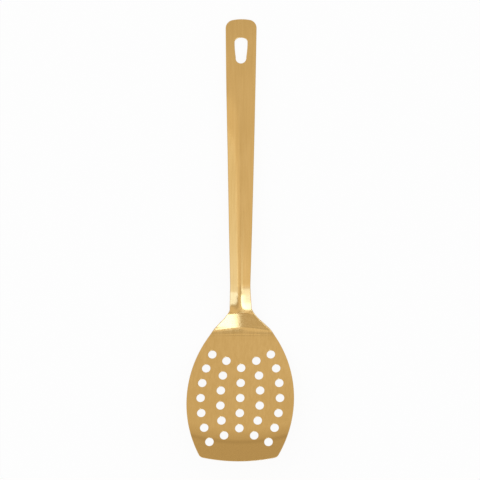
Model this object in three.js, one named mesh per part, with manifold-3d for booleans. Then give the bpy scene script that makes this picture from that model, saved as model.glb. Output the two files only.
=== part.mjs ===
// Slotted turner of gold-coloured steel: a perforated blade and a pressed handle, lapped at the neck.
// Millimetres, +Z up. It lies on a worktop on its heel and its handle end, blade towards -Y.
import * as THREE from 'three';
import { mergeVertices } from 'three/addons/utils/BufferGeometryUtils.js';
import Module from 'manifold-3d';

const wasm = await Module();
wasm.setup();
const degree = Math.PI / 180;

// Sheet, and the lap of the two pressings
const bladeThickness = 1.2;
const handleThickness = 1.6;
const lapGap = 0.3; // between the tang and the handle over it
const tangInset = 1.4; // handle's side to the tang's side
const tangLength = 31; // under the handle, from the handle's lower end
const tangCorner = 4;

// Lengthwise line of the sheet, from the front edge to the handle end
const bladeLength = 98.8; // flat, up to the heel bend
const heelRadius = 10;
const shoulderAngle = 48 * degree; // shoulder against the blade
const shoulderLength = 12.4;
const neckRadius = 38;
const handleAngle = 14 * degree; // handle against the blade
const handleLength = 205; // straight, from the neck bend to the end

// Blade outline
const bladeWidth = 82.7;
const widestAt = 48.2; // from the front edge
const sideRadius = 91.2;
const frontRadius = 135;
const frontCorner = 4.5;
const neckFillet = 28; // into the tang, a little past the handle's sides

// Ground front edge
const bevelLength = 16;
const edgeThickness = 0.7;

// Drain holes, in bowed columns with an even pitch along each
const holeDiameter = 6.5;
const holePitch = 12;
const patternAt = 50; // middle of the columns, from the front edge
const edgeMargin = 10.8; // outer column to the blade's side
const innerRadius = 120;
const middleCount = 5;
const innerCount = 6;
const outerCount = 7;

// Handle outline
const neckWidth = 15.9;
const neckFlare = 0.65; // each side, at the handle's lower end
const handleWidth = 24;
const handleSwell = 0.36; // each side, past a straight taper
const neckCorner = 1.2;
const endCorner = 6.5;
const endRadius = 36;

// Roof section of the handle: two flanks that meet in a ridge
const roofAngle = 17 * degree;
const ridgeRadiusNeck = 6.5;
const ridgeRadiusEnd = 16;
const roofStart = 1; // below the handle's lower end, where the roof begins
const roofLead = 11; // past the handle's lower end, until the roof is full
const flatMargin = 5.6; // flat sheet past the hanging hole's narrow end
const roofFade = 80; // length over which the roof flattens out

// Valley of the shoulder: its flanks stand up from the middle line
const valleyAngle = 4 * degree;
const valleyRadius = 14; // rounding of its middle line
const valleyLow = 1; // past the start of the heel bend, where the valley begins
const valleyRise = 8; // length over which it grows
const valleyFade = 2.5; // length over which it dies away
const valleyPast = 1; // beyond the handle's lower end, where it has died away

// Hanging hole, wide end towards the handle end
const hangAt = 14.4; // from the handle end to the hole's wide end
const hangLength = 20;
const hangWide = 10;
const hangNarrow = 8.2;
const hangCrown = 3.4; // height of the wide end's arc
const hangTaper = 9 * degree; // lean of the sides at the narrow end

// Spot welds between tang and handle
const weldDiameter = 3.6;
const weldInset = 3; // from the tang's side
const weldFromSeam = 9; // lower pair, from the handle's lower end
const weldFromEnd = 9; // upper pair, from the tang's end
const weldClear = 0.08; // to the sheet on each side

// Finish
const goldColour = 0xc8a05c;
const goldRoughness = 0.32;

// Facets
const columns = [-1, -0.6, -0.3, -0.16, -0.1, -0.055, -0.025, 0, 0.025, 0.055, 0.1, 0.16, 0.3, 0.6, 1];
const holeSides = 24;
const weldSides = 16;
const bendStep = 1.6;
const straightStep = 7;
const cornerSteps = 5;
const probe = 0.01; // step for finding the sheet's normal
const mergeWithin = 1e-4; // corners closer than this are one
const past = 5; // cutters run this far past the sheet

// Bends and straight runs in order
const runs = [
  { length: bladeLength, turn: 0 },
  { length: heelRadius * shoulderAngle, turn: shoulderAngle },
  { length: shoulderLength, turn: 0 },
  { length: neckRadius * (shoulderAngle - handleAngle), turn: handleAngle - shoulderAngle },
  { length: handleLength, turn: 0 },
];
const heelEnd = runs[0].length + runs[1].length;
const seam = heelEnd + runs[2].length; // handle's lower end
const neckEnd = seam + runs[3].length;
const handleEnd = neckEnd + runs[4].length;
const flatStart = handleEnd - hangAt - hangLength - flatMargin;
const tangEnd = seam + tangLength;
const tangHalf = neckWidth / 2 - tangInset;
const valleyStart = bladeLength + valleyLow;
const valleyEnd = seam + valleyPast;

// Place and slope of the sheet's middle line at the length s from the front edge
function spine(s) {
  let y = 0;
  let z = 0;
  let angle = 0;
  let left = s;
  for (const run of runs) {
    const step = run === runs.at(-1) ? left : Math.min(left, run.length);
    const turn = run.turn * step / run.length;
    const chord = turn === 0 ? step : 2 * step / turn * Math.sin(turn / 2);
    y += chord * Math.cos(angle + turn / 2);
    z += chord * Math.sin(angle + turn / 2);
    angle += turn;
    left -= step;
  }
  return { y, z, angle };
}

// One on the shoulder, dying away at the handle's lower end
function valleyShare(s) {
  return 1 - THREE.MathUtils.smoothstep(s, valleyEnd - valleyFade, valleyEnd);
}

// Slope of the flanks: a valley on the shoulder, then a roof that dies away before the hanging hole
function flankSlope(s) {
  const grow = THREE.MathUtils.smoothstep(s, valleyStart, valleyStart + valleyRise);
  const valley = grow * valleyShare(s);
  const rise = THREE.MathUtils.smoothstep(s, seam - roofStart, seam + roofLead);
  const fade = 1 - THREE.MathUtils.smoothstep(s, flatStart - roofFade, flatStart);
  return Math.tan(roofAngle) * rise * fade - Math.tan(valleyAngle) * valley;
}

// How far the flanks fall below the middle line
function roofDrop(x, s) {
  const along = THREE.MathUtils.smoothstep(s, seam, flatStart);
  const ridgeRadius = THREE.MathUtils.lerp(ridgeRadiusNeck, ridgeRadiusEnd, along);
  const radius = THREE.MathUtils.lerp(ridgeRadius, valleyRadius, valleyShare(s));
  const round = radius * Math.tan(roofAngle);
  return flankSlope(s) * (Math.hypot(x, round) - round);
}

// Upper face of the blade and its tang, which the handle lies on
function face(x, s) {
  const at = spine(s);
  const drop = roofDrop(x, s);
  return new THREE.Vector3(x, at.y + drop * Math.sin(at.angle), at.z - drop * Math.cos(at.angle));
}

// A point at the height n over that face
function pressed(x, s, n) {
  const across = face(x + probe, s).sub(face(x - probe, s));
  const along = face(x, s + probe).sub(face(x, s - probe));
  return face(x, s).addScaledVector(across.cross(along).normalize(), n);
}

// Even steps from one length to the next, the first left out
function steps(from, to, size) {
  const count = Math.ceil((to - from) / size);
  return Array.from({ length: count }, (_, i) => from + (to - from) * (i + 1) / count);
}

// Steps round a corner at the start or at the end of a sheet, the first left out
const cornerTurns = steps(0, Math.PI / 2, Math.PI / 2 / cornerSteps);

function startCorner(from, to) {
  return cornerTurns.map((turn) => from + (to - from) * (1 - Math.cos(turn)));
}

function endCorners(from, to) {
  return cornerTurns.map((turn) => from + (to - from) * Math.sin(turn));
}

// Closed sheet over rows of points: each row gives a place for every column, above and below
function sheet(rows, upper, lower) {
  const points = [];
  for (const side of [upper, lower]) {
    for (const row of rows) {
      for (const u of columns) {
        points.push(...side(u, row).toArray());
      }
    }
  }
  const wide = columns.length;
  const tall = rows.length;
  const index = [];
  const quad = (a, b, c, d) => index.push(a, b, c, a, c, d);
  const at = (side, row, column) => (side * tall + row) * wide + column;
  for (let row = 0; row < tall - 1; row += 1) {
    for (let column = 0; column < wide - 1; column += 1) {
      quad(at(0, row, column), at(0, row, column + 1), at(0, row + 1, column + 1), at(0, row + 1, column));
      quad(at(1, row, column), at(1, row + 1, column), at(1, row + 1, column + 1), at(1, row, column + 1));
    }
    quad(at(1, row, 0), at(0, row, 0), at(0, row + 1, 0), at(1, row + 1, 0));
    quad(at(0, row, wide - 1), at(1, row, wide - 1), at(1, row + 1, wide - 1), at(0, row + 1, wide - 1));
  }
  for (let column = 0; column < wide - 1; column += 1) {
    quad(at(1, 0, column), at(1, 0, column + 1), at(0, 0, column + 1), at(0, 0, column));
    const last = tall - 1;
    quad(at(0, last, column), at(0, last, column + 1), at(1, last, column + 1), at(1, last, column));
  }
  const geometry = new THREE.BufferGeometry();
  geometry.setAttribute('position', new THREE.Float32BufferAttribute(points, 3));
  geometry.setIndex(index);
  return geometry;
}

function toSolid(geometry) {
  const bare = geometry.clone();
  bare.deleteAttribute('normal');
  bare.deleteAttribute('uv');
  const merged = mergeVertices(bare, mergeWithin);
  const vertProperties = new Float32Array(merged.attributes.position.array);
  const triVerts = new Uint32Array(merged.index.array);
  return new wasm.Manifold(new wasm.Mesh({ numProp: 3, vertProperties, triVerts }));
}

function toGeometry(solid) {
  const mesh = solid.getMesh();
  const geometry = new THREE.BufferGeometry();
  geometry.setAttribute('position', new THREE.Float32BufferAttribute(mesh.vertProperties, 3));
  geometry.setIndex(Array.from(mesh.triVerts));
  const flat = geometry.toNonIndexed();
  flat.computeVertexNormals();
  return flat;
}

// Depth of a bowed edge at the distance x from its middle
function bow(radius, x) {
  return radius - Math.sqrt(Math.max(radius ** 2 - x ** 2, 0));
}

// Front corner: a circle that touches the side arc and the front arc from inside
const sideX = bladeWidth / 2 - sideRadius;
const toSide = sideRadius - frontCorner;
const toFront = frontRadius - frontCorner;
const between = new THREE.Vector2(sideX, widestAt - frontRadius);
const reach = (toFront ** 2 - toSide ** 2 + between.lengthSq()) / (2 * between.length());
const aside = Math.sqrt(toFront ** 2 - reach ** 2);
const unit = between.clone().normalize();
const cornerX = unit.x * reach - unit.y * aside;
const cornerS = frontRadius + unit.y * reach + unit.x * aside;
const frontHalf = cornerX * frontRadius / toFront;
const cornerEnd = widestAt + (cornerS - widestAt) * sideRadius / toSide;
const cornerStart = bow(frontRadius, frontHalf);

// Fillet from the blade's side into the tang
const filletX = tangHalf + neckFillet;
const filletS = widestAt + Math.sqrt((sideRadius + neckFillet) ** 2 - (filletX - sideX) ** 2);
const filletStart = widestAt + (filletS - widestAt) * sideRadius / (sideRadius + neckFillet);

function bladeHalf(s) {
  if (s < cornerEnd) {
    return cornerX + Math.sqrt(Math.max(frontCorner ** 2 - (s - cornerS) ** 2, 0));
  }
  if (s < filletStart) {
    return sideX + Math.sqrt(sideRadius ** 2 - (s - widestAt) ** 2);
  }
  if (s < filletS) {
    return filletX - Math.sqrt(neckFillet ** 2 - (filletS - s) ** 2);
  }
  return tangHalf - bow(tangCorner, Math.max(s - (tangEnd - tangCorner), 0));
}

// Rows run from the bowed front edge back to the tang's end and straighten on the way
function bladePlace(u, edge) {
  const x = u * bladeHalf(edge);
  const lead = bow(frontRadius, u * frontHalf) - cornerStart;
  const straighten = Math.max(1 - (edge - cornerStart) / (widestAt - cornerStart), 0);
  return { x, s: edge + lead * straighten };
}

function bladeTop(u, edge) {
  const { x, s } = bladePlace(u, edge);
  const fromEdge = s - bow(frontRadius, x);
  const ground = Math.max(1 - fromEdge / bevelLength, 0) * (bladeThickness - edgeThickness);
  return pressed(x, s, -ground);
}

function bladeBottom(u, edge) {
  const { x, s } = bladePlace(u, edge);
  return pressed(x, s, -bladeThickness);
}

const bladeRows = [
  cornerStart,
  ...startCorner(cornerStart, cornerEnd),
  ...steps(cornerEnd, cornerStart + bevelLength, straightStep),
  ...steps(cornerStart + bevelLength, widestAt, straightStep),
  ...steps(widestAt, bladeLength, straightStep),
  ...steps(bladeLength, heelEnd, bendStep),
  ...steps(heelEnd, filletStart, bendStep),
  ...steps(filletStart, filletS, bendStep),
  ...steps(filletS, tangEnd - tangCorner, bendStep),
  ...endCorners(tangEnd - tangCorner, tangEnd),
];

// Drain holes of one column at a signed offset from the middle line, on an arc of the radius given
function holeColumn(offset, radius, count) {
  const places = [];
  for (let i = 0; i < count; i += 1) {
    const along = (i - (count - 1) / 2) * holePitch;
    const turn = along / radius;
    places.push({
      x: Math.sign(offset) * (Math.abs(offset) - radius * (1 - Math.cos(turn))),
      s: patternAt + radius * Math.sin(turn),
    });
  }
  return places;
}

function straightColumn(count) {
  const middle = (count - 1) / 2;
  return Array.from({ length: count }, (_, i) => ({ x: 0, s: patternAt + (i - middle) * holePitch }));
}

const outerOffset = bladeWidth / 2 - edgeMargin;
const innerOffset = outerOffset / 2; // columns stand evenly apart
const drainHoles = [
  ...straightColumn(middleCount),
  ...holeColumn(-innerOffset, innerRadius, innerCount),
  ...holeColumn(innerOffset, innerRadius, innerCount),
  ...holeColumn(-outerOffset, sideRadius - edgeMargin, outerCount),
  ...holeColumn(outerOffset, sideRadius - edgeMargin, outerCount),
];

let bladeSolid = toSolid(sheet(bladeRows, bladeTop, bladeBottom));
for (const hole of drainHoles) {
  const radius = holeDiameter / 2;
  const cutter = new THREE.CylinderGeometry(radius, radius, bladeThickness + 2 * past, holeSides);
  cutter.rotateX(Math.PI / 2);
  cutter.translate(hole.x, hole.s, -bladeThickness / 2);
  bladeSolid = bladeSolid.subtract(toSolid(cutter));
}

// Handle outline: a taper from the neck to the end, with a small corner below and a round one on top
const cornerLine = handleWidth / 2 - endCorner;
const endHalf = cornerLine * endRadius / (endRadius - endCorner);
const endDepth = endRadius - Math.sqrt((endRadius - endCorner) ** 2 - cornerLine ** 2);
const endCornerStart = handleEnd - endDepth;
const endRow = handleEnd - bow(endRadius, endHalf);

function handleHalf(s) {
  const along = THREE.MathUtils.clamp((s - neckEnd) / (endCornerStart - neckEnd), 0, 1);
  const taper = THREE.MathUtils.lerp(neckWidth / 2, handleWidth / 2, along);
  const swell = handleSwell * 4 * along * (1 - along);
  const flare = neckFlare * (1 - THREE.MathUtils.smoothstep(s, seam, neckEnd));
  const below = bow(neckCorner, Math.max(seam + neckCorner - s, 0));
  const above = bow(endCorner, Math.max(s - endCornerStart, 0));
  return taper + swell + flare - below - above;
}

// Columns stop short of the outline by what the upper edge leans out on the sloping flanks
function handlePlace(u, edge) {
  const lean = (lapGap + handleThickness) * Math.sin(Math.atan(flankSlope(edge)));
  const lift = bow(endRadius, endHalf) - bow(endRadius, u * endHalf);
  const bent = Math.max((edge - endCornerStart) / (endRow - endCornerStart), 0);
  return { x: u * (handleHalf(edge) - lean), s: edge + lift * bent };
}

function handleTop(u, edge) {
  const { x, s } = handlePlace(u, edge);
  return pressed(x, s, lapGap + handleThickness);
}

function handleBottom(u, edge) {
  const { x, s } = handlePlace(u, edge);
  return pressed(x, s, lapGap);
}

const handleRows = [
  seam,
  ...startCorner(seam, seam + neckCorner),
  ...steps(seam + neckCorner, neckEnd, bendStep),
  ...steps(neckEnd, endCornerStart, straightStep),
  ...endCorners(endCornerStart, endRow),
];

// Hanging hole: a round narrow end, bowed sides and a flat arc at the wide end
const hangRadius = hangNarrow / 2;
const hangBottom = hangLength - hangRadius;
const sideEnd = new THREE.Vector2(hangRadius * Math.cos(hangTaper), hangRadius * Math.sin(hangTaper) - hangBottom);
const sideBow = new THREE.Vector2(hangWide / 2, sideEnd.y + (hangWide / 2 - sideEnd.x) / Math.tan(hangTaper));
const hangOutline = new THREE.Shape();
hangOutline.absellipse(0, -hangCrown, hangWide / 2, hangCrown, 0, Math.PI, false);
hangOutline.quadraticCurveTo(-sideBow.x, sideBow.y, -sideEnd.x, sideEnd.y);
hangOutline.absarc(0, -hangBottom, hangRadius, Math.PI - hangTaper, 2 * Math.PI + hangTaper, false);
hangOutline.quadraticCurveTo(sideBow.x, sideBow.y, hangWide / 2, -hangCrown);
const hangCutter = new THREE.ExtrudeGeometry(
  hangOutline, { depth: handleThickness + 2 * past, bevelEnabled: false, curveSegments: holeSides / 2 });
const hangPlace = spine(handleEnd - hangAt);
hangCutter.translate(0, 0, lapGap - past);
hangCutter.rotateX(hangPlace.angle);
hangCutter.translate(0, hangPlace.y, hangPlace.z);
const handleSolid = toSolid(sheet(handleRows, handleTop, handleBottom)).subtract(toSolid(hangCutter));

// Spot weld: a thin disc that follows the lap
function spotWeld(x, s) {
  const radius = weldDiameter / 2;
  const disc = new THREE.CylinderGeometry(radius, radius, lapGap - 2 * weldClear, weldSides);
  disc.rotateX(Math.PI / 2);
  disc.translate(x, s, lapGap / 2);
  const place = disc.attributes.position;
  for (let i = 0; i < place.count; i += 1) {
    place.setXYZ(i, ...pressed(place.getX(i), place.getY(i), place.getZ(i)).toArray());
  }
  return toGeometry(toSolid(disc));
}

function goldMesh(name, geometry) {
  const finish = { color: goldColour, roughness: goldRoughness, metalness: 1 };
  const mesh = new THREE.Mesh(geometry, new THREE.MeshStandardMaterial(finish));
  mesh.name = name;
  return mesh;
}

const turner = new THREE.Group();
turner.name = 'slotted_turner';
turner.add(goldMesh('blade', toGeometry(bladeSolid)));
turner.add(goldMesh('handle', toGeometry(handleSolid)));
const weldRows = { lower: seam + weldFromSeam, upper: tangEnd - weldFromEnd };
const weldX = tangHalf - weldInset;
for (const [row, s] of Object.entries(weldRows)) {
  turner.add(goldMesh(`spot_weld_${row}_left`, spotWeld(-weldX, s)));
  turner.add(goldMesh(`spot_weld_${row}_right`, spotWeld(weldX, s)));
}

// Laid on a worktop: the table line touches the underside of the heel bend and the handle end
const heelOutside = heelRadius + bladeThickness;
const endPoint = pressed(0, handleEnd, lapGap);
const fromHeel = new THREE.Vector2(endPoint.y - bladeLength, endPoint.z - heelRadius);
turner.rotation.x = -(fromHeel.angle() + Math.asin(heelOutside / fromHeel.length()));
const box = new THREE.Box3().setFromObject(turner, true);
const boxMiddle = box.getCenter(new THREE.Vector3());
turner.position.set(-boxMiddle.x, -boxMiddle.y, -box.min.z);

const scene = new THREE.Group();
scene.add(turner);
export default scene;
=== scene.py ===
import math
from functools import partial

import bmesh
import bpy
from mathutils import Matrix, Vector, geometry


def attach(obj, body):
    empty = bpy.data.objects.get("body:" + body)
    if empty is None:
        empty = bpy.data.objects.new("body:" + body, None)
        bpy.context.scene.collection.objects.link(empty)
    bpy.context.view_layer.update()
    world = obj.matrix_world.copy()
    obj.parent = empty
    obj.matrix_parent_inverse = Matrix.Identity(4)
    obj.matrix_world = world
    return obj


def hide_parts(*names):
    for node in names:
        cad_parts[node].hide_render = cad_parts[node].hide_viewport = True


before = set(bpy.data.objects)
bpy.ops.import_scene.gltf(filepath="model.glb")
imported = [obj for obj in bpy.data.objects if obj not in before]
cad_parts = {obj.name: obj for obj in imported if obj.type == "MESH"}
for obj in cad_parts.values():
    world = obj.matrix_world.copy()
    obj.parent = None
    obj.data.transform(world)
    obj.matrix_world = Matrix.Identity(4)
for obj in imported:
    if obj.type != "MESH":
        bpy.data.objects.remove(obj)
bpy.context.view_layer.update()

mm = 0.001

# the lengthwise line that both sheets are pressed to, in mm and degrees
pressLine = {
    "Blade Length": 98.8,  # flat, up to the heel bend
    "Heel Radius": 10.0,
    "Shoulder Angle": 48.0,
    "Shoulder Length": 12.4,
    "Neck Radius": 38.0,
    "Handle Angle": 14.0,
    "Roof Angle": 17.0,  # flanks of the handle
    "Ridge At Neck": 6.5,
    "Ridge At End": 16.0,
    "Roof Start": 1.0,  # below the lap
    "Roof Lead": 11.0,
    "Roof Fade": 80.0,
    "Valley Angle": 4.0,  # flanks of the shoulder stand up
    "Valley Radius": 14.0,
    "Valley Low": 1.0,  # past the start of the heel bend
    "Valley Rise": 8.0,
    "Valley Fade": 2.5,
    "Valley Past": 1.0,  # beyond the lap
}
handleRun = 205.0  # straight part of the handle
hangingHole = {
    "fromEnd": 14.4,
    "length": 20.0,
    "wide": 10.0,
    "narrow": 8.2,
    "crown": 3.4,  # height of the arch at the wide end
    "taper": 9.0,  # on each side
}
flatMargin = 5.6  # flat sheet below the hanging hole
# lays the pressed tool on its heel and its handle end, in the CAD's own place
layOnTable = {"tilt": -17.937807263902826, "place": (0.0, -169.37046990, 32.11494824)}

shoulderTurn = math.radians(pressLine["Shoulder Angle"])
neckTurn = shoulderTurn - math.radians(pressLine["Handle Angle"])
roofRise = math.tan(math.radians(pressLine["Roof Angle"]))
heelEnd = pressLine["Blade Length"] + pressLine["Heel Radius"] * shoulderTurn
seam = heelEnd + pressLine["Shoulder Length"]  # lower end of the handle
neckEnd = seam + pressLine["Neck Radius"] * neckTurn
handleEnd = neckEnd + handleRun
pressLine["Flat From"] = handleEnd - hangingHole["fromEnd"] - hangingHole["length"] - flatMargin


# small helpers for node trees
def feed(tree, socket, value):
    if isinstance(value, bpy.types.NodeSocket):
        tree.links.new(value, socket)
    else:
        socket.default_value = value


def addNode(tree, kind, inputs=None, **settings):
    node = tree.nodes.new(kind)
    for name, value in settings.items():
        setattr(node, name, value)
    for key, value in (inputs or {}).items():
        feed(tree, node.inputs[key], value)
    return node


def calc(tree, operation, *values):
    return addNode(tree, "ShaderNodeMath", dict(enumerate(values)), operation=operation).outputs[0]


def total(tree, *values):
    result = values[0]
    for value in values[1:]:
        result = calc(tree, "ADD", result, value)
    return result


def between(tree, value, low, high):
    return calc(tree, "MINIMUM", calc(tree, "MAXIMUM", value, low), high)


def smoothly(tree, value, start, end):
    limits = {"Value": value, "From Min": start, "From Max": end}
    return addNode(tree, "ShaderNodeMapRange", limits, interpolation_type="SMOOTHSTEP").outputs["Result"]


def vectorOf(tree, x, y, z):
    return addNode(tree, "ShaderNodeCombineXYZ", {"X": x, "Y": y, "Z": z}).outputs[0]


def ownPlace(tree):
    place = tree.nodes.new("GeometryNodeInputPosition").outputs[0]
    return addNode(tree, "ShaderNodeSeparateXYZ", {0: place}).outputs


def finished(tree, shape, finish):
    shape = addNode(tree, "GeometryNodeRealizeInstances", {"Geometry": shape}).outputs[0]
    return addNode(tree, "GeometryNodeSetMaterial", {"Geometry": shape, "Material": finish}).outputs[0]


def newTree(name, lengths=(), angles=(), others=(), gives=("Geometry", "NodeSocketGeometry")):
    tree = bpy.data.node_groups.new(name, "GeometryNodeTree")
    for socketName, kind in others:
        tree.interface.new_socket(socketName, in_out="INPUT", socket_type=kind)
    for names, subtype in ((lengths, "DISTANCE"), (angles, "ANGLE")):
        for socketName in names:
            socket = tree.interface.new_socket(socketName, in_out="INPUT", socket_type="NodeSocketFloat")
            socket.subtype = subtype
    tree.interface.new_socket(gives[0], in_out="OUTPUT", socket_type=gives[1])
    taken = tree.nodes.new("NodeGroupInput").outputs
    given = tree.nodes.new("NodeGroupOutput").inputs[0]
    return tree, taken, given


def callTree(tree, inner, values):
    node = tree.nodes.new("GeometryNodeGroup")
    node.node_tree = inner
    for name, value in values.items():
        feed(tree, node.inputs[name], value)
    return node.outputs[0]


def addTree(piece, tree, values):
    modifier = piece.modifiers.new(tree.name, "NODES")
    modifier.node_group = tree
    for item in tree.interface.items_tree:
        if item.in_out == "INPUT" and item.name in values:
            modifier[item.identifier] = values[item.name]


def inMetres(sizes):
    result = {}
    for name, value in sizes.items():
        result[name] = math.radians(value) if name.endswith("Angle") else value * mm
    return result


lineAngles = [name for name in pressLine if name.endswith("Angle")]
lineLengths = [name for name in pressLine if name not in lineAngles]


# place on the upper face of the blade's sheet, pressed, for a distance X across and S along
def buildSheetFace():
    places = [("X", "NodeSocketFloat"), ("S", "NodeSocketFloat")]
    tree, size, result = newTree("sheetFace", lineLengths, lineAngles, places, ("Place", "NodeSocketVector"))
    m = partial(calc, tree)
    along = size["S"]
    shoulder, handle = size["Shoulder Angle"], size["Handle Angle"]
    unbend = m("SUBTRACT", shoulder, handle)
    heelStop = m("MULTIPLY_ADD", size["Heel Radius"], shoulder, size["Blade Length"])
    lap = m("ADD", heelStop, size["Shoulder Length"])
    neckStop = m("MULTIPLY_ADD", size["Neck Radius"], unbend, lap)

    # how far each bend and straight run has gone
    pastBlade, pastLap = m("SUBTRACT", along, size["Blade Length"]), m("SUBTRACT", along, lap)
    heelAngle = between(tree, m("DIVIDE", pastBlade, size["Heel Radius"]), 0.0, shoulder)
    neckAngle = between(tree, m("DIVIDE", pastLap, size["Neck Radius"]), 0.0, unbend)
    bladePart = m("MINIMUM", along, size["Blade Length"])
    shoulderPart = between(tree, m("SUBTRACT", along, heelStop), 0.0, size["Shoulder Length"])
    handlePart = m("MAXIMUM", m("SUBTRACT", along, neckStop), 0.0)
    slope = m("SUBTRACT", heelAngle, neckAngle)
    neckSlope = m("SUBTRACT", shoulder, neckAngle)
    forward = total(
        tree, bladePart,
        m("MULTIPLY", size["Heel Radius"], m("SINE", heelAngle)),
        m("MULTIPLY", shoulderPart, m("COSINE", shoulder)),
        m("MULTIPLY", size["Neck Radius"], m("SUBTRACT", m("SINE", shoulder), m("SINE", neckSlope))),
        m("MULTIPLY", handlePart, m("COSINE", handle)),
    )
    upward = total(
        tree, m("MULTIPLY", size["Heel Radius"], m("SUBTRACT", 1.0, m("COSINE", heelAngle))),
        m("MULTIPLY", shoulderPart, m("SINE", shoulder)),
        m("MULTIPLY", size["Neck Radius"], m("SUBTRACT", m("COSINE", neckSlope), m("COSINE", shoulder))),
        m("MULTIPLY", handlePart, m("SINE", handle)),
    )

    # the shoulder is a shallow valley, which closes at the lap
    valleyStart = m("ADD", size["Blade Length"], size["Valley Low"])
    grow = smoothly(tree, along, valleyStart, m("ADD", valleyStart, size["Valley Rise"]))
    valleyEnd = m("ADD", lap, size["Valley Past"])
    closing = smoothly(tree, along, m("SUBTRACT", valleyEnd, size["Valley Fade"]), valleyEnd)
    valleyLeft = m("SUBTRACT", 1.0, closing)
    valley = m("MULTIPLY", m("MULTIPLY", grow, valleyLeft), m("TANGENT", size["Valley Angle"]))

    # past the lap the flanks fall away from a ridge, and the sheet is flat again at the hanging hole
    rise = smoothly(tree, along, m("SUBTRACT", lap, size["Roof Start"]), m("ADD", lap, size["Roof Lead"]))
    fade = smoothly(tree, along, m("SUBTRACT", size["Flat From"], size["Roof Fade"]), size["Flat From"])
    roof = m("TANGENT", size["Roof Angle"])
    flank = m("SUBTRACT", m("MULTIPLY", m("MULTIPLY", roof, rise), m("SUBTRACT", 1.0, fade)), valley)
    growth = smoothly(tree, along, lap, size["Flat From"])
    widening = m("SUBTRACT", size["Ridge At End"], size["Ridge At Neck"])
    ridge = m("MULTIPLY_ADD", widening, growth, size["Ridge At Neck"])
    ridge = m("MULTIPLY_ADD", m("SUBTRACT", size["Valley Radius"], ridge), valleyLeft, ridge)
    rounding = m("MULTIPLY", ridge, roof)
    reach = m("SQRT", m("MULTIPLY_ADD", size["X"], size["X"], m("MULTIPLY", rounding, rounding)))
    drop = m("MULTIPLY", flank, m("SUBTRACT", reach, rounding))
    y = m("MULTIPLY_ADD", drop, m("SINE", slope), forward)
    z = m("SUBTRACT", upward, m("MULTIPLY", drop, m("COSINE", slope)))
    tree.links.new(vectorOf(tree, size["X"], y, z), result)
    return tree


# presses a flat blank, whose X is across, Y along and Z through the sheet
pressing = {
    "onFace": 2e-6,  # m, still on a face of the blank
    "probe": 0.0002,  # m, from a place to those that give its normal
    "farFromFront": 6.0,  # ground bands, the largest share that is kept
    "dentFloor": 0.55,  # flat part of a weld's dent, of its radius
}


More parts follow.
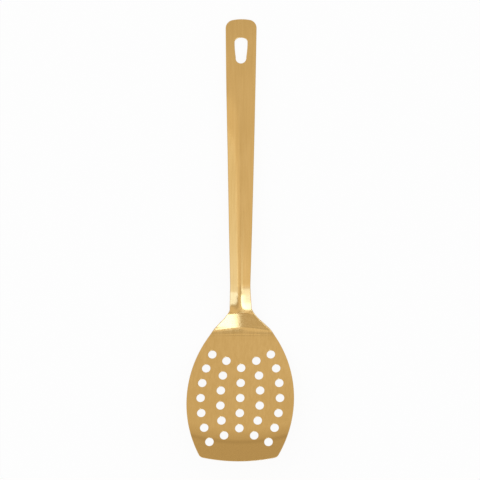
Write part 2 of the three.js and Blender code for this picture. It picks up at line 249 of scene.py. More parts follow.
def buildPress(sheetFace):
    lengths = lineLengths + ["Sheet Bottom", "Sheet Top", "Front Radius", "Bevel Length",
                             "Mark Side", "Mark Lower", "Mark Upper", "Mark Radius", "Mark Depth"]
    others = [("Geometry", "NodeSocketGeometry"), ("Ground Away", "NodeSocketFloat"),
              ("Lay Place", "NodeSocketVector"), ("Finish", "NodeSocketMaterial")]
    tree, size, result = newTree("pressSheet", lengths, lineAngles + ["Lay Tilt"], others)
    m = partial(calc, tree)
    flat = ownPlace(tree)
    x, s, n = flat["X"], flat["Y"], flat["Z"]

    # marks for the finish: the rounded rims, and the share of the ground band from the front edge
    height = m("SUBTRACT", n, size["Sheet Bottom"])
    fromBack = m("ABSOLUTE", height)
    gap = m("MINIMUM", m("ABSOLUTE", m("SUBTRACT", n, size["Sheet Top"])), fromBack)
    rim = m("GREATER_THAN", gap, pressing["onFace"])
    inFront = m("SQRT", m("SUBTRACT", m("POWER", size["Front Radius"], 2.0), m("MULTIPLY", x, x)))
    bow = m("SUBTRACT", size["Front Radius"], inFront)
    front = m("DIVIDE", m("SUBTRACT", s, bow), size["Bevel Length"])
    frontShare = between(tree, front, 0.0, pressing["farFromFront"])
    shape = size["Geometry"]
    for name, value in (("rimShare", rim), ("frontShare", frontShare)):
        mark = {"Geometry": shape, "Name": name, "Value": value}
        store = addNode(tree, "GeometryNodeStoreNamedAttribute", mark, data_type="FLOAT", domain="POINT")
        shape = store.outputs[0]

    # the front is ground thinner from above, and the welds leave dents in the back
    ground = m("MULTIPLY", m("MAXIMUM", m("SUBTRACT", 1.0, front), 0.0), size["Ground Away"])
    height = m("MULTIPLY", height, m("SUBTRACT", 1.0, ground))
    aside = m("SUBTRACT", m("ABSOLUTE", x), size["Mark Side"])
    floor = m("MULTIPLY", size["Mark Radius"], pressing["dentFloor"])
    dent = 0.0
    for name in ("Mark Lower", "Mark Upper"):
        away = m("SQRT", m("MULTIPLY_ADD", aside, aside, m("POWER", m("SUBTRACT", s, size[name]), 2.0)))
        dent = m("ADD", dent, m("SUBTRACT", 1.0, smoothly(tree, away, floor, size["Mark Radius"])))
    onBack = m("LESS_THAN", fromBack, pressing["onFace"])
    height = m("MULTIPLY_ADD", m("MULTIPLY", dent, size["Mark Depth"]), onBack, height)
    lifted = m("ADD", height, size["Sheet Bottom"])

    # place on the face, and the face's normal from four places around it
    probe = pressing["probe"]
    sizes = {name: size[name] for name in lineLengths + lineAngles}

    def faceAt(across, along):
        return callTree(tree, sheetFace, dict(sizes, X=across, S=along))

    def vectors(operation, *values):
        return addNode(tree, "ShaderNodeVectorMath", dict(enumerate(values)), operation=operation).outputs[0]

    acrossStep = vectors("SUBTRACT", faceAt(m("ADD", x, probe), s), faceAt(m("SUBTRACT", x, probe), s))
    alongStep = vectors("SUBTRACT", faceAt(x, m("ADD", s, probe)), faceAt(x, m("SUBTRACT", s, probe)))
    normal = vectors("NORMALIZE", vectors("CROSS_PRODUCT", acrossStep, alongStep))
    offset = addNode(tree, "ShaderNodeVectorMath", {0: normal, "Scale": lifted}, operation="SCALE").outputs[0]
    place = vectors("ADD", faceAt(x, s), offset)
    shape = addNode(tree, "GeometryNodeSetPosition", {"Geometry": shape, "Position": place}).outputs[0]
    turn = vectorOf(tree, size["Lay Tilt"], 0.0, 0.0)
    laid = {"Geometry": shape, "Translation": size["Lay Place"], "Rotation": turn}
    shape = addNode(tree, "GeometryNodeTransform", laid).outputs[0]
    shape = addNode(tree, "GeometryNodeSetShadeSmooth", {"Geometry": shape, "Shade Smooth": True}).outputs[0]
    tree.links.new(finished(tree, shape, size["Finish"]), result)
    return tree


# one bowed column of punch places, evenly spaced along its arc
def buildHoleColumn():
    others = [("Count", "NodeSocketInt"), ("Side", "NodeSocketFloat")]
    tree, size, result = newTree("holeColumn", ["Offset", "Radius", "Pitch", "Middle"], (), others)
    m = partial(calc, tree)
    index = tree.nodes.new("GeometryNodeInputIndex").outputs[0]
    fromMiddle = m("SUBTRACT", index, m("MULTIPLY", m("SUBTRACT", size["Count"], 1.0), 0.5))
    turn = m("DIVIDE", m("MULTIPLY", fromMiddle, size["Pitch"]), size["Radius"])
    inward = m("MULTIPLY", size["Radius"], m("SUBTRACT", 1.0, m("COSINE", turn)))
    x = m("MULTIPLY", size["Side"], m("SUBTRACT", size["Offset"], inward))
    y = m("MULTIPLY_ADD", size["Radius"], m("SINE", turn), size["Middle"])
    points = addNode(tree, "GeometryNodePoints", {"Count": size["Count"]}).outputs[0]
    placed = {"Geometry": points, "Position": vectorOf(tree, x, y, 0.0)}
    tree.links.new(addNode(tree, "GeometryNodeSetPosition", placed).outputs[0], result)
    return tree


# punches the drain holes through a flat blank, with a rounded rim on both faces
punchTool = {
    "rings": 16,  # along the punch
    "depth": 1.25,  # times the sheet's thickness
    "flareEnd": 1.04,  # times the rim, so that the flare ends outside the sheet
}


def buildPunch(holeColumn):
    lengths = ["Hole Diameter", "Hole Rim", "Hole Pitch", "Pattern At", "Outer Offset", "Outer Radius",
               "Inner Offset", "Inner Radius", "Middle Radius", "Sheet Bottom", "Sheet Top"]
    countNames = ("Middle Count", "Inner Count", "Outer Count", "Punch Sides")
    others = [("Geometry", "NodeSocketGeometry"), ("Finish", "NodeSocketMaterial")]
    others += [(name, "NodeSocketInt") for name in countNames]
    tree, size, result = newTree("punchHoles", lengths, (), others)
    m = partial(calc, tree)
    columns = tree.nodes.new("GeometryNodeJoinGeometry")
    for name, sides in (("Middle", (0.0,)), ("Inner", (-1.0, 1.0)), ("Outer", (-1.0, 1.0))):
        for side in sides:
            values = {"Count": size[name + " Count"], "Side": side, "Radius": size[name + " Radius"],
                      "Pitch": size["Hole Pitch"], "Middle": size["Pattern At"]}
            if name != "Middle":
                values["Offset"] = size[name + " Offset"]
            tree.links.new(callTree(tree, holeColumn, values), columns.inputs[0])

    # the punch: a cylinder that flares into each face of the sheet
    thickness = m("SUBTRACT", size["Sheet Top"], size["Sheet Bottom"])
    radius = m("MULTIPLY", size["Hole Diameter"], 0.5)
    punch = addNode(tree, "GeometryNodeMeshCylinder", {
        "Vertices": size["Punch Sides"], "Side Segments": punchTool["rings"], "Radius": radius,
        "Depth": m("MULTIPLY", thickness, punchTool["depth"])}, fill_type="NGON").outputs["Mesh"]
    at = ownPlace(tree)
    straight = m("SUBTRACT", m("MULTIPLY", thickness, 0.5), size["Hole Rim"])
    into = m("SUBTRACT", m("ABSOLUTE", at["Z"]), straight)
    share = between(tree, m("DIVIDE", into, m("MULTIPLY", size["Hole Rim"], punchTool["flareEnd"])), 0.0, 1.0)
    flare = m("MULTIPLY", size["Hole Rim"],
              m("SUBTRACT", 1.0, m("SQRT", m("SUBTRACT", 1.0, m("MULTIPLY", share, share)))))
    wider = m("ADD", 1.0, m("DIVIDE", flare, radius))
    middle = m("MULTIPLY", m("ADD", size["Sheet Top"], size["Sheet Bottom"]), 0.5)
    flared = vectorOf(tree, m("MULTIPLY", at["X"], wider), m("MULTIPLY", at["Y"], wider),
                      m("ADD", at["Z"], middle))
    punch = addNode(tree, "GeometryNodeSetPosition", {"Geometry": punch, "Position": flared}).outputs[0]
    spots = {"Points": columns.outputs[0], "Instance": punch}
    punches = addNode(tree, "GeometryNodeInstanceOnPoints", spots).outputs[0]
    punches = addNode(tree, "GeometryNodeRealizeInstances", {"Geometry": punches}).outputs[0]
    cut = addNode(tree, "GeometryNodeMeshBoolean", {"Mesh 1": size["Geometry"], "Mesh 2": punches},
                  operation="DIFFERENCE", solver="EXACT").outputs[0]
    tree.links.new(finished(tree, cut, size["Finish"]), result)
    return tree


sheetFaceTree = buildSheetFace()
pressTree = buildPress(sheetFaceTree)
punchTree = buildPunch(buildHoleColumn())
print("press and punch trees ready")

# how the flat blanks of both sheets are meshed
blankMesh = {
    "rimSteps": 4,  # faces round a rim, from face to edge
    "samePoint": 1e-6,  # mm, on the flat
    "sameSpot": 1.5e-6,  # m, after pressing
    "joinFlat": 0.01,  # radians, between two triangles that become one face
    "joinShape": 0.7,
}


# steps between two values, the first left out
def stepsTo(start, end, size):
    count = max(1, math.ceil(abs(end - start) / size))
    return [start + (end - start) * (i + 1) / count for i in range(count)]


def smoothShare(value, start, end):
    share = min(max((value - start) / (end - start), 0.0), 1.0)
    return share * share * (3.0 - 2.0 * share)


def arcPoints(centreX, centreS, radius, fromAngle, toAngle, count):
    turns = [fromAngle + (toAngle - fromAngle) * (i + 1) / count for i in range(count)]
    return [Vector((centreX + radius * math.cos(turn), centreS + radius * math.sin(turn))) for turn in turns]


# depth at x of a bow with its top in the middle
def bowDepth(radius, x):
    return radius - math.sqrt(max(radius * radius - x * x, 0.0))


def bothSides(right):
    left = [Vector((-point.x, point.y)) for point in reversed(right)]
    return right + [point for point in left if abs(point.x) > blankMesh["samePoint"]]


def insideLoop(point, loop):
    within = False
    for i, a in enumerate(loop):
        b = loop[i - 1]
        if (a.y > point.y) != (b.y > point.y):
            if point.x < (b.x - a.x) * (point.y - a.y) / (b.y - a.y) + a.x:
                within = not within
    return within


# closed flat blank in mm: loops have the sheet on their left, rims are rounded, faces are filled
def flatBlank(name, loops, inside, top, bottom, rimRadius, creases=()):
    profile = []
    for k in range(blankMesh["rimSteps"] + 1):
        turn = math.pi / 2 * k / blankMesh["rimSteps"]
        profile.append((rimRadius * (1.0 - math.sin(turn)), rimRadius * (1.0 - math.cos(turn))))
    levels = [(inset, top - depth) for inset, depth in profile]
    levels += [(inset, bottom + depth) for inset, depth in reversed(profile)]
    rings = []
    for loop in loops:
        inward = []
        for i, point in enumerate(loop):
            before = (point - loop[i - 1]).normalized()
            after = (loop[(i + 1) % len(loop)] - point).normalized()
            first, second = Vector((-before.y, before.x)), Vector((-after.y, after.x))
            inward.append((first + second) / (1.0 + first.dot(second)))
        ring = []
        for inset, height in levels:
            ring.append([(point + aim * inset, height) for point, aim in zip(loop, inward)])
        rings.append(ring)

    flatPoints, edges = [], []
    for ring in rings:
        start, count = len(flatPoints), len(ring[0])
        flatPoints += [point for point, height in ring[0]]
        edges += [(start + i, start + (i + 1) % count) for i in range(count)]
    borderCount = len(flatPoints)
    for crease in creases:
        edges += [(len(flatPoints) + i, len(flatPoints) + i + 1) for i in range(len(crease) - 1)]
        flatPoints += crease
    flatPoints += inside
    outer, keepInside = list(range(len(loops[0]))), 1
    filled = geometry.delaunay_2d_cdt(flatPoints, edges, [outer], keepInside, blankMesh["samePoint"])
    filledPoints, filledFaces, sources = filled[0], filled[2], filled[3]

    mesh = bmesh.new()

    def vertAt(point, height):
        return mesh.verts.new((point.x * mm, point.y * mm, height * mm))

    ringVerts = [[[vertAt(point, height) for point, height in level] for level in ring] for ring in rings]
    topBorder = [vert for ring in ringVerts for vert in ring[0]]
    lowBorder = [vert for ring in ringVerts for vert in ring[-1]]
    topVerts, lowVerts = [], []
    for point, source in zip(filledPoints, sources):
        border = [i for i in source if i < borderCount]
        topVerts.append(topBorder[border[0]] if border else vertAt(point, top))
        lowVerts.append(lowBorder[border[0]] if border else vertAt(point, bottom))
    holes = [[point for point, height in ring[0]] for ring in rings[1:]]
    for face in filledFaces:
        middle = sum((filledPoints[i] for i in face), Vector((0.0, 0.0))) / len(face)
        if any(insideLoop(middle, hole) for hole in holes):
            continue
        mesh.faces.new([topVerts[i] for i in face])
        mesh.faces.new([lowVerts[i] for i in reversed(face)])
    for ring in ringVerts:
        for upper, lower in zip(ring, ring[1:]):
            for i in range(len(upper)):
                j = (i + 1) % len(upper)
                mesh.faces.new((upper[i], lower[i], lower[j], upper[j]))
    for vert in [vert for vert in mesh.verts if not vert.link_faces]:
        mesh.verts.remove(vert)
    bmesh.ops.join_triangles(mesh, faces=mesh.faces[:], angle_face_threshold=blankMesh["joinFlat"],
                             angle_shape_threshold=blankMesh["joinShape"])
    data = bpy.data.meshes.new(name)
    mesh.to_mesh(data)
    mesh.free()
    blank = bpy.data.objects.new(name, data)
    bpy.context.scene.collection.objects.link(blank)
    return blank


# runs the trees, keeps their result as a plain mesh and sets the shading breaks at the rims
def settle(piece):
    depsgraph = bpy.context.evaluated_depsgraph_get()
    pressed = piece.evaluated_get(depsgraph)
    data = bpy.data.meshes.new_from_object(pressed, preserve_all_data_layers=True, depsgraph=depsgraph)
    piece.modifiers.clear()
    old = piece.data
    piece.data = data
    data.name = piece.name
    bpy.data.meshes.remove(old)
    mesh = bmesh.new()
    mesh.from_mesh(data)
    bmesh.ops.remove_doubles(mesh, verts=mesh.verts[:], dist=blankMesh["sameSpot"])
    bmesh.ops.triangulate(mesh, faces=[face for face in mesh.faces if len(face.verts) > 4])
    rim = mesh.verts.layers.float["rimShare"]
    plain = {face: all(vert[rim] < 0.5 for vert in face.verts) for face in mesh.faces}
    for edge in mesh.edges:
        edge.smooth = len({plain[face] for face in edge.link_faces}) == 1
    for face in mesh.faces:
        face.smooth = True
    openCount = sum(1 for edge in mesh.edges if len(edge.link_faces) != 2)
    volume = round(mesh.calc_volume() / mm ** 3, 1)
    print(piece.name, len(mesh.faces), "faces,", openCount, "open edges, volume", volume, "mm3")
    mesh.to_mesh(data)
    mesh.free()


# satin gold coat on brushed steel, with painted shade near the front, read from Object coordinates and the pressed
# sheet's own marks
goldFinish = {
    "deep": (0.560, 0.338, 0.108, 1.0),
    "bright": (0.640, 0.398, 0.140, 1.0),
    "edge": (0.72, 0.50, 0.22, 1.0),
    # painted shade: darker gold for the ground front band
    "shadedBand": (0.445, 0.257, 0.076, 1.0),
    "shadedBandBright": (0.500, 0.292, 0.088, 1.0),
    # painted shade: darker gold for a line along the crease above the ground band
    "crease": (0.400, 0.230, 0.068, 1.0),
    "roughness": (0.13, 0.19),
    "streaks": {"Scale": 620.0, "Detail": 3.0},
    "grain": {"Scale": 4200.0, "Detail": 2.0},
    "grainStretch": 0.012,  # streaks and grain run along the tool
    "clouds": {"Scale": 26.0, "Detail": 2.0},
    "specks": {"Scale": 2100.0, "Detail": 1.0},
    "noiseRange": (0.3, 0.7),  # part of each noise that is spread out in full
    "coatStreaks": 0.6,
    "coatClouds": 0.4,
    "roughGrain": 0.5,
    "roughStreaks": 0.5,
    "bumpStrength": 0.10,
    "bumpDistance": 0.00004,  # m
    "bumpGrain": 0.7,
    "bumpSpecks": 0.3,
}
# looks and painted shade that follow the sheet's marks; places are counted in ground bands from the front edge
frontLook = {
    "shadeEnds": (3.0, 4.8), "shade": 0.16,  # painted shade: the gold is darker towards the front
    # painted shade on the ground front band, which is also a little rougher
    "shadedBandEnds": (0.95, 1.60), "bandRough": 0.05,
    # painted shade along the crease above the ground band
    "creaseAt": 0.93, "creaseEnds": (0.03, 0.14), "creaseShadeWeight": 0.7,
    "wornClouds": (0.35, 0.65), "worn": (0.25, 0.9),  # bare rims, unevenly
}


def buildGold(name, finish, marked):
    material = bpy.data.materials.new(name)
    material.use_nodes = True
    tree = material.node_tree
    m = partial(calc, tree)
    shader = tree.nodes["Principled BSDF"]
    shader.inputs["Metallic"].default_value = 1.0
    spot = tree.nodes.new("ShaderNodeTexCoord").outputs["Object"]
    stretch = {"Vector": spot, "Scale": (1.0, finish["grainStretch"], 1.0)}
    brushed = addNode(tree, "ShaderNodeMapping", stretch).outputs[0]

    def noise(vector, settings):
        return addNode(tree, "ShaderNodeTexNoise", dict(settings, Vector=vector)).outputs[0]

    def remap(value, ends, toLow, toHigh):
        limits = {"Value": value, "From Min": ends[0], "From Max": ends[1], "To Min": toLow, "To Max": toHigh}
        return addNode(tree, "ShaderNodeMapRange", limits).outputs["Result"]

    def blend(factor, first, second):
        inputs = {"Factor": factor, 6: first, 7: second}  # the node's two colours
        return addNode(tree, "ShaderNodeMix", inputs, data_type="RGBA").outputs[2]

    def markOf(attribute):
        return addNode(tree, "ShaderNodeAttribute", attribute_name=attribute).outputs["Fac"]

    spread = finish["noiseRange"]
    streaks, grain = noise(brushed, finish["streaks"]), noise(brushed, finish["grain"])
    clouds, specks = noise(spot, finish["clouds"]), noise(spot, finish["specks"])
    toneAndShade = m("MULTIPLY_ADD", streaks, finish["coatStreaks"], m("MULTIPLY", clouds, finish["coatClouds"]))
    if marked:
        front = markOf("frontShare")
        # painted shade: the gold is darker towards the front of the blade
        toneAndShade = m("SUBTRACT", toneAndShade, remap(front, frontLook["shadeEnds"], frontLook["shade"], 0.0))
    colour = blend(remap(toneAndShade, spread, 0.0, 1.0), finish["deep"], finish["bright"])
    texture = m("MULTIPLY_ADD", grain, finish["roughGrain"], m("MULTIPLY", streaks, finish["roughStreaks"]))
    rough = remap(texture, spread, *finish["roughness"])
    if marked:
        # painted shade: the ground front band is darker gold, and it is rougher
        shadedBand = remap(front, frontLook["shadedBandEnds"], 1.0, 0.0)
        shadedBandColour = blend(remap(specks, spread, 0.0, 1.0), finish["shadedBand"], finish["shadedBandBright"])
        colour = blend(shadedBand, colour, shadedBandColour)
        # painted shade: a darker line along the crease above the ground band
        fromCrease = m("ABSOLUTE", m("SUBTRACT", front, frontLook["creaseAt"]))
        creaseShade = remap(fromCrease, frontLook["creaseEnds"], frontLook["creaseShadeWeight"], 0.0)
        colour = blend(creaseShade, colour, finish["crease"])
        rough = m("MULTIPLY_ADD", shadedBand, frontLook["bandRough"], rough)
        worn = m("MULTIPLY", markOf("rimShare"), remap(clouds, frontLook["wornClouds"], *frontLook["worn"]))
        colour = blend(worn, colour, finish["edge"])
    height = m("MULTIPLY_ADD", grain, finish["bumpGrain"], m("MULTIPLY", specks, finish["bumpSpecks"]))
    relief = {"Strength": finish["bumpStrength"], "Distance": finish["bumpDistance"], "Height": height}
    tree.links.new(colour, shader.inputs["Base Color"])
    tree.links.new(rough, shader.inputs["Roughness"])
    tree.links.new(addNode(tree, "ShaderNodeBump", relief).outputs[0], shader.inputs["Normal"])
    return material


weldFinish = dict(goldFinish, deep=(0.30, 0.19, 0.09, 1.0), bright=(0.42, 0.28, 0.13, 1.0), roughness=(0.38, 0.55))
satinGold = buildGold("satinGold", goldFinish, True)
weldGold = buildGold("weldGold", weldFinish, False)
print("gold finish ready")

# blade: outline, drain holes and the tang under the handle, in mm
blade = {
    "thickness": 1.2,
    "width": 82.7,
    "widestAt": 48.2,
    "sideRadius": 91.2,
    "frontRadius": 135.0,
    "frontCorner": 4.5,
    "neckFillet": 28.0,
    "tangHalf": 6.55,
    "tangLength": 31.0,
    "tangCorner": 4.0,
    "bevelLength": 16.0,
    "edgeThickness": 0.7,
    "rim": 0.2,
    "drainMargin": 10.8,  # outer column of holes to the side
    "drainHoles": {
        "Hole Diameter": 6.5,
        "Hole Rim": 0.28,
        "Hole Pitch": 12.0,
        "Pattern At": 50.0,
        "Inner Radius": 120.0,
        "Middle Radius": 10000.0,  # as good as straight
    },
    "drainCounts": {"Middle Count": 5, "Inner Count": 6, "Outer Count": 7, "Punch Sides": 40},
    "weldMarks": {"side": 3.55, "fromSeam": 9.0, "fromEnd": 9.0, "radius": 2.3, "depth": 0.14},
}
# how finely the blade's blank is divided: step lengths and margins in mm, and counts
bladeMesh = {
    "frontStep": 1.5, "cornerCount": 12, "sideCount": 90, "filletCount": 16,
    "tangStep": 1.6, "tangCornerCount": 10, "tangEndStep": 0.9,
    "grid": 6.0, "gridSide": 6, "gridMargin": 2.0,
    "bandRows": (3.0, 7.5, 12.0),
    "creaseStep": 3.0, "creaseMargin": 1.0, "creaseWidth": 0.9,
    "gridStop": 3.5, "bendLead": 2.8, "bendTail": 1.0, "bendStep": 0.5,  # about the heel bend
    "tangRow": 1.0, "tangStop": 1.2, "rowMargin": 1.0,
    "weldClear": 2.75, "weldRings": ((0.7, 8), (1.25, 14), (1.6, 18), (1.95, 20), (2.35, 22)),
}
ridgeSpread = [0.3, 0.6, 0.95, 1.4, 2.0, 2.8, 3.8, 5.0]  # mm from the ridge, on both sheets
shoulderSpread = [6.4 + 1.5 * i for i in range(14)]
handleSpread = [6.2, 7.4, 8.6, 9.8]


def mirrored(spread):
    return [0.0] + spread + [-x for x in spread]


# what the press needs to know of every sheet
def pressValues(top, bottom, others):
    values = dict(inMetres(pressLine), **others)
    values.update({
        "Sheet Top": top * mm, "Sheet Bottom": bottom * mm, "Finish": satinGold,
        "Lay Tilt": math.radians(layOnTable["tilt"]), "Lay Place": [v * mm for v in layOnTable["place"]],
    })
    return values


def makeBlade():
    half, mesh = blade["width"] / 2, bladeMesh
    side, front = blade["sideRadius"], blade["frontRadius"]
    corner, fillet = blade["frontCorner"], blade["neckFillet"]
    sideX, widest = half - side, blade["widestAt"]
    tangHalf, tangEnd, tangCorner = blade["tangHalf"], seam + blade["tangLength"], blade["tangCorner"]

    # the front corner's circle touches the side arc and the front arc from inside
    gap = Vector((sideX, widest - front))
    reach = ((front - corner) ** 2 - (side - corner) ** 2 + gap.length_squared) / (2 * gap.length)
    aside = math.sqrt((front - corner) ** 2 - reach ** 2)
    unit = gap.normalized()
    cornerX, cornerS = unit.x * reach - unit.y * aside, front + unit.y * reach + unit.x * aside
    frontHalf = cornerX * front / (front - corner)
    filletX = tangHalf + fillet
    filletS = widest + math.sqrt((side + fillet) ** 2 - (filletX - sideX) ** 2)
    cornerFrom = math.atan2(cornerS - front, cornerX)
    cornerTo = math.atan2(cornerS - widest, cornerX - sideX)
    filletAt = math.atan2(filletS - widest, filletX - sideX)
    tangX, tangS = tangHalf - tangCorner, tangEnd - tangCorner

    right = [Vector((0.0, 0.0))]
    right += [Vector((x, bowDepth(front, x))) for x in stepsTo(0.0, frontHalf, mesh["frontStep"])]
    right += arcPoints(cornerX, cornerS, corner, cornerFrom, cornerTo, mesh["cornerCount"])
    right += arcPoints(sideX, widest, side, cornerTo, filletAt, mesh["sideCount"])
    right += arcPoints(filletX, filletS, fillet, filletAt + math.pi, math.pi, mesh["filletCount"])
    right += [Vector((tangHalf, s)) for s in stepsTo(filletS, tangS, mesh["tangStep"])]
    right += arcPoints(tangX, tangS, tangCorner, 0.0, math.pi / 2, mesh["tangCornerCount"])
    right += [Vector((x, tangEnd)) for x in stepsTo(tangX, 0.0, mesh["tangEndStep"])]
    sideAt = [(point.y, point.x) for point in right if point.y > cornerS]

    def halfAt(s):
        if s < cornerS:
            return cornerX + math.sqrt(max(corner ** 2 - (s - cornerS) ** 2, 0.0))
        for (lowS, lowX), (highS, highX) in zip(sideAt, sideAt[1:]):
            if lowS <= s <= highS:
                return lowX + (highX - lowX) * (s - lowS) / max(highS - lowS, blankMesh["samePoint"])
        return 0.0

    # places inside: a loose grid on the flat, close rows in the bends, rings round the weld marks
    inside = []

    def addInside(x, s, margin):
        if abs(x) < halfAt(s) - margin:
            inside.append(Vector((x, s)))

    gridX = [i * mesh["grid"] for i in range(-mesh["gridSide"], mesh["gridSide"] + 1)]
    for fromFront in mesh["bandRows"]:
        for x in gridX:
            addInside(x, fromFront + bowDepth(front, x), mesh["gridMargin"])
    heelStart = pressLine["Blade Length"]
    flatFrom = blade["bevelLength"] + bowDepth(front, half)
    for s in stepsTo(flatFrom, heelStart - mesh["gridStop"], mesh["grid"]):
        for x in gridX:
            addInside(x, s, mesh["gridMargin"])
    bendStop = heelEnd + mesh["bendTail"]
    rows = stepsTo(heelStart - mesh["bendLead"], bendStop, mesh["bendStep"])
    rows += stepsTo(bendStop, tangEnd - mesh["tangStop"], mesh["tangRow"])
    welds = blade["weldMarks"]
    weldX, weldRows = welds["side"], (seam + welds["fromSeam"], tangEnd - welds["fromEnd"])
    for s in rows:
        for x in mirrored(ridgeSpread + shoulderSpread):
            if all(math.hypot(abs(x) - weldX, s - weldS) > mesh["weldClear"] for weldS in weldRows):
                addInside(x, s, mesh["rowMargin"])
    for weldS in weldRows:
        for sign in (-1, 1):
            inside.append(Vector((sign * weldX, weldS)))
            for radius, count in mesh["weldRings"]:
                for i in range(count):
                    turn = 2 * math.pi * i / count
                    ringX, ringS = radius * math.cos(turn), radius * math.sin(turn)
                    inside.append(Vector((sign * weldX + ringX, weldS + ringS)))
    creaseEnd = blade["bevelLength"] + bowDepth(front, half * mesh["creaseWidth"])
    creaseHalf = halfAt(creaseEnd) - mesh["creaseMargin"]
    creaseX = [-creaseHalf] + stepsTo(-creaseHalf, creaseHalf, mesh["creaseStep"])
    crease = [Vector((x, blade["bevelLength"] + bowDepth(front, x))) for x in creaseX]

    top, bottom = 0.0, -blade["thickness"]
    piece = flatBlank("turnerBlade", [bothSides(right)], inside, top, bottom, blade["rim"], [crease])
    margin = blade["drainMargin"]
    outer = half - margin
    holes = dict(inMetres(blade["drainHoles"]), **blade["drainCounts"])
    holes.update({
        "Sheet Top": top * mm, "Sheet Bottom": bottom * mm, "Finish": satinGold,
        "Outer Offset": outer * mm, "Inner Offset": outer / 2 * mm, "Outer Radius": (side - margin) * mm,
    })
    addTree(piece, punchTree, holes)
    addTree(piece, pressTree, pressValues(top, bottom, {
        "Front Radius": front * mm, "Bevel Length": blade["bevelLength"] * mm,
        "Ground Away": 1.0 - blade["edgeThickness"] / blade["thickness"],
        "Mark Side": weldX * mm, "Mark Lower": weldRows[0] * mm, "Mark Upper": weldRows[1] * mm,
        "Mark Radius": welds["radius"] * mm, "Mark Depth": welds["depth"] * mm,
    }))
    settle(piece)
    return piece


# handle: a tapered sheet with a roof section, lapped over the tang, in mm
handle = {
    "gap": 0.3,  # over the tang
    "thickness": 1.6,
    "neckWidth": 15.9,
    "neckFlare": 0.65,
    "width": 24.0,
    "swell": 0.36,
    "neckCorner": 1.2,
    "endCorner": 6.5,
    "endRadius": 36.0,
    "rim": 0.42,
}
# how finely the handle's blank is divided: step lengths and margins in mm, and counts
handleMesh = {
    "lapStep": 0.8, "neckCornerCount": 8, "neckStep": 1.0, "neckTail": 4.0, "sideStep": 2.5,
    "endCornerCount": 14, "endStep": 0.9, "flatStep": 3.0, "rowStop": 2.0,
    "crownCount": 28, "taperCount": 10, "narrowCount": 30,  # about the hanging hole
    "sideMargin": 0.9, "holeMargin": 1.2, "lapMargin": 0.8,
}
# the handle is not ground and has no weld marks
unmarked = {"Front Radius": 1.0, "Bevel Length": blade["bevelLength"] * mm, "Ground Away": 0.0,
            "Mark Radius": 1.0 * mm, "Mark Depth": 0.0}


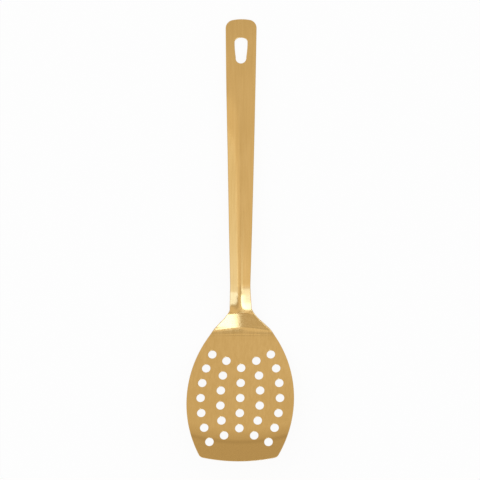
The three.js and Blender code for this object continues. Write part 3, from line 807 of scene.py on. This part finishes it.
def makeHandle():
    mesh, hole = handleMesh, hangingHole
    top, bottom = handle["gap"] + handle["thickness"], handle["gap"]
    wide, corner, endRadius = handle["width"] / 2, handle["endCorner"], handle["endRadius"]
    cornerX = wide - corner
    cornerS = handleEnd - endRadius + math.sqrt((endRadius - corner) ** 2 - cornerX ** 2)
    endHalf = cornerX * endRadius / (endRadius - corner)
    flatFrom = pressLine["Flat From"]

    def halfAt(s):
        along = min(max((s - neckEnd) / (cornerS - neckEnd), 0.0), 1.0)
        taper = handle["neckWidth"] / 2 + (wide - handle["neckWidth"] / 2) * along
        flank = roofRise * smoothShare(s, seam - pressLine["Roof Start"], seam + pressLine["Roof Lead"])
        flank *= 1.0 - smoothShare(s, flatFrom - pressLine["Roof Fade"], flatFrom)
        lean = top * math.sin(math.atan(flank))  # the upper edge leans out on the flanks
        flare = handle["neckFlare"] * (1.0 - smoothShare(s, seam, neckEnd))
        return taper + handle["swell"] * 4 * along * (1 - along) + flare - lean

    small, neckStop = handle["neckCorner"], neckEnd + mesh["neckTail"]
    neckRows = stepsTo(seam + small, neckStop, mesh["neckStep"])
    endTurn = math.atan2(cornerS - (handleEnd - endRadius), cornerX)
    right = [Vector((0.0, seam))]
    right += [Vector((x, seam)) for x in stepsTo(0.0, halfAt(seam) - small, mesh["lapStep"])]
    smallX, smallS = halfAt(seam + small) - small, seam + small
    right += arcPoints(smallX, smallS, small, -math.pi / 2, 0.0, mesh["neckCornerCount"])
    right += [Vector((halfAt(s), s)) for s in neckRows + stepsTo(neckStop, cornerS, mesh["sideStep"])]
    right += arcPoints(cornerX, cornerS, corner, 0.0, endTurn, mesh["endCornerCount"])
    right += [Vector((x, handleEnd - bowDepth(endRadius, x))) for x in stepsTo(endHalf, 0.0, mesh["endStep"])]

    # hanging hole, walked clockwise so that the sheet is on the left
    wideHalf, narrowR = hole["wide"] / 2, hole["narrow"] / 2
    wideS = handleEnd - hole["fromEnd"] - hole["crown"]
    narrowS = handleEnd - hole["fromEnd"] - hole["length"] + narrowR
    crownTurns = stepsTo(0.0, math.pi, math.pi / mesh["crownCount"])
    loop = [Vector((wideHalf * math.cos(turn), wideS + hole["crown"] * math.sin(turn))) for turn in crownTurns]
    taper = math.radians(hole["taper"])
    above = Vector((-wideHalf, wideS))
    below = Vector((-narrowR * math.cos(taper), narrowS + narrowR * math.sin(taper)))
    bend = Vector((above.x, below.y + (below.x - above.x) / math.tan(taper)))
    left = []
    for i in range(1, mesh["taperCount"]):
        share = i / mesh["taperCount"]
        left.append(above.lerp(bend, share).lerp(bend.lerp(below, share), share))
    loop += left + [below]
    loop += arcPoints(0.0, narrowS, narrowR, math.pi - taper, 2 * math.pi + taper, mesh["narrowCount"])
    loop += [Vector((-point.x, point.y)) for point in reversed(left)] + [Vector((wideHalf, wideS))]
    loop.reverse()

    def clearOfHole(x, s):
        margin = mesh["holeMargin"]
        if s < narrowS - narrowR - margin or s > wideS + hole["crown"] + margin:
            return True
        return abs(x) > wideHalf + margin

    inside = []
    rows = stepsTo(seam, neckStop, mesh["neckStep"]) + stepsTo(neckStop, flatFrom, mesh["sideStep"])
    rows += stepsTo(flatFrom, handleEnd - mesh["rowStop"], mesh["flatStep"])
    for s in rows:
        room = halfAt(s) - mesh["sideMargin"] - bowDepth(corner, max(s - cornerS, 0.0))
        for x in mirrored(ridgeSpread + handleSpread):
            if abs(x) < room and clearOfHole(x, s) and s > seam + mesh["lapMargin"]:
                inside.append(Vector((x, s)))

    piece = flatBlank("turnerHandle", [bothSides(right), loop], inside, top, bottom, handle["rim"])
    addTree(piece, pressTree, pressValues(top, bottom, unmarked))
    settle(piece)
    return piece


bladePiece = makeBlade()
handlePiece = makeHandle()
for piece, node in ((bladePiece, "blade"), (handlePiece, "handle")):
    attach(piece, "root")
    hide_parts(node)
for name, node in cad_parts.items():
    if name.startswith("spot_weld"):
        node.data.materials.clear()
        node.data.materials.append(weldGold)
print("blade, handle and welds in place")

# white worktop that keeps a soft shadow, in m, so wide that low views don't see its end
worktop = {"size": 40.0, "glow": 0.92, "colour": (0.96, 0.96, 0.96, 1.0)}


def whiteShare(tree):
    path = tree.nodes.new("ShaderNodeLightPath").outputs
    share = calc(tree, "MAXIMUM", path["Is Camera Ray"], path["Is Glossy Ray"])
    return calc(tree, "MAXIMUM", share, path["Is Transmission Ray"])


def makeWorktop():
    half = worktop["size"] / 2
    corners = [(-half, -half, 0.0), (half, -half, 0.0), (half, half, 0.0), (-half, half, 0.0)]
    data = bpy.data.meshes.new("worktop")
    data.from_pydata(corners, [], [(0, 1, 2, 3)])
    floor = bpy.data.objects.new("worktop", data)
    bpy.context.scene.collection.objects.link(floor)
    material = bpy.data.materials.new("worktopWhite")
    material.use_nodes = True
    tree = material.node_tree
    tree.nodes.remove(tree.nodes["Principled BSDF"])
    matt = addNode(tree, "ShaderNodeBsdfDiffuse", {"Color": worktop["colour"]}).outputs[0]
    glow = addNode(tree, "ShaderNodeEmission", {"Strength": 1.0}).outputs[0]
    share = calc(tree, "MULTIPLY", whiteShare(tree), worktop["glow"])
    mixed = addNode(tree, "ShaderNodeMixShader", {0: share, 1: matt, 2: glow}).outputs[0]
    tree.links.new(mixed, tree.nodes["Material Output"].inputs["Surface"])
    data.materials.append(material)


makeWorktop()

# even white surroundings, and soft panels that hang level over the worktop
surroundLevel = 0.78  # the same for every ray
white = (1.0, 1.0, 1.0)
softPanels = {  # left and right, front and back, height, all in m, then radiance and tint
    # white light over the blade and the handle, and a glint on the ridge
    "backPanel": ((-1.2, 1.2), (0.8, 2.4), 1.8, 0.23, white),
    "handleLeft": ((-0.95, -0.34), (0.06, 0.5), 1.8, 0.3, white),
    "handleRight": ((-0.04, 1.2), (0.06, 0.5), 1.8, 0.26, white),
    "handleLow": ((0.5, 1.2), (0.0, 0.29), 1.82, 0.06, white),
    "handleEnd": ((-0.34, -0.04), (0.355, 0.6), 1.8, 0.24, white),
    "ridgePanel": ((-0.34, -0.04), (0.15, 0.3), 1.8, 0.44, white),
    "ridgeLow": ((-0.44, -0.14), (-0.8, 0.08), 1.0, 0.38, white),
    "ridgeGlint": ((0.06, 0.3), (-0.16, 0.115), 0.98, 1.1, (0.4, 0.6, 1.0)),
    # the bright left half of the shoulder, with a soft edge
    "rightFront": ((-0.012, 0.28), (-2.2, -1.35), 1.0, 10.4, (0.35, 0.54, 1.0)),
    "frontSoft": ((-0.048, -0.012), (-2.2, -1.35), 1.0, 4.0, (0.38, 0.56, 1.0)),
    "frontFade": ((-0.095, -0.048), (-2.2, -1.35), 1.0, 1.5, (0.42, 0.6, 1.0)),
    "frontEnd": ((-0.16, -0.095), (-2.2, -1.35), 1.0, 0.38, (0.6, 0.75, 1.0)),
    # the right flank of the neck, from white at the lap to plain gold
    "rightTongue": ((0.06, 0.46), (-1.15, -0.7), 1.0, 7.4, (0.41, 0.59, 1.0)),
    "tongueLow": ((0.045, 0.41), (-0.7, -0.34), 1.0, 5.6, (0.41, 0.59, 1.0)),
    "rightMiddle": ((0.41, 0.66), (-0.7, -0.34), 1.0, 3.4, (0.33, 0.47, 1.0)),
    "rightNear": ((0.14, 0.64), (-0.34, -0.09), 1.0, 2.6, (0.35, 0.54, 1.0)),
    "rightEdge": ((0.1, 0.66), (-0.09, 0.03), 1.0, 0.8, (0.5, 0.6, 1.0)),
    "rightFar": ((0.3, 0.7), (0.02, 0.12), 1.0, 0.28, (0.8, 0.9, 1.0)),
    # weaker white light from the front
    "frontFill": ((-0.38, 0.01), (-1.35, -0.8), 1.0, 0.36, white),
    "frontLow": ((-0.75, -0.3), (-2.7, -1.92), 1.0, 0.2, white),
    # the left flank, from cream at the neck to plain gold up the handle
    "leftPanel": ((-1.0, -0.49), (-0.42, -0.24), 1.0, 3.5, (0.29, 0.48, 1.0)),
    "leftLow": ((-1.0, -0.63), (-0.75, -0.42), 1.0, 3.5, (0.29, 0.48, 1.0)),
    "leftClose": ((-1.2, -0.44), (-0.24, 0.155), 1.0, 1.5, (0.43, 0.6, 1.0)),
    "leftNear": ((-1.2, -0.5), (0.155, 0.19), 1.0, 0.92, (0.58, 0.72, 1.0)),
    "leftMiddle": ((-1.2, -0.5), (0.19, 0.225), 1.0, 0.66, (0.7, 0.85, 1.0)),
    "leftFar": ((-1.2, -0.5), (0.225, 0.6), 1.0, 0.5, (0.8, 0.88, 1.0)),
    "leftEnd": ((-0.5, -0.2), (0.1, 0.6), 1.0, 0.1, (0.92, 0.97, 1.0)),
}


def makeLight():
    world = bpy.data.worlds.new("studio")
    world.use_nodes = True
    bpy.context.scene.world = world
    around = world.node_tree.nodes["Background"]
    around.inputs["Color"].default_value = (*white, 1.0)
    around.inputs["Strength"].default_value = surroundLevel
    for name, ((left, right), (front, back), height, radiance, tint) in softPanels.items():
        data = bpy.data.lights.new(name, "AREA")
        data.shape = "RECTANGLE"
        data.size, data.size_y = right - left, back - front
        data.energy = radiance * math.pi * data.size * data.size_y
        data.color = tint
        lamp = bpy.data.objects.new(name, data)
        lamp.location = ((left + right) / 2, (front + back) / 2, height)
        lamp.visible_diffuse = tint == white  # tinted ones show in reflections only
        bpy.context.scene.collection.objects.link(lamp)


makeLight()
print("worktop and light ready")

# camera high over the tool, a little off to its right, square to the handle, in m, degrees and mm of lens
view = {
    "aim": (0.00004, -0.00097, 0.015),
    "distance": 2.5,
    "side": 5.91,
    "back": 1.145,
    "roll": -0.172,
    "lens": 244.67,
    "sensor": 36.0,
    "farthest": 50.0,
}


def makeCamera():
    data = bpy.data.cameras.new("camera")
    data.sensor_width = view["sensor"]
    data.lens = view["lens"]
    data.clip_end = view["farthest"]
    camera = bpy.data.objects.new("camera", data)
    bpy.context.scene.collection.objects.link(camera)
    side, back, roll = (math.radians(view[name]) for name in ("side", "back", "roll"))
    away = Vector((math.sin(side) * math.cos(back), -math.sin(back), math.cos(side) * math.cos(back)))
    level = (-away).cross(Vector((0.0, 1.0, 0.0))).normalized()
    upward = level.cross(-away)
    right = level * math.cos(roll) + upward * math.sin(roll)
    up = upward * math.cos(roll) - level * math.sin(roll)
    turned = Matrix((right, up, away)).transposed().to_4x4()
    camera.matrix_world = Matrix.Translation(Vector(view["aim"]) + away * view["distance"]) @ turned
    bpy.context.scene.camera = camera


makeCamera()
bpy.context.scene.view_settings.view_transform = "Standard"
print("camera ready")
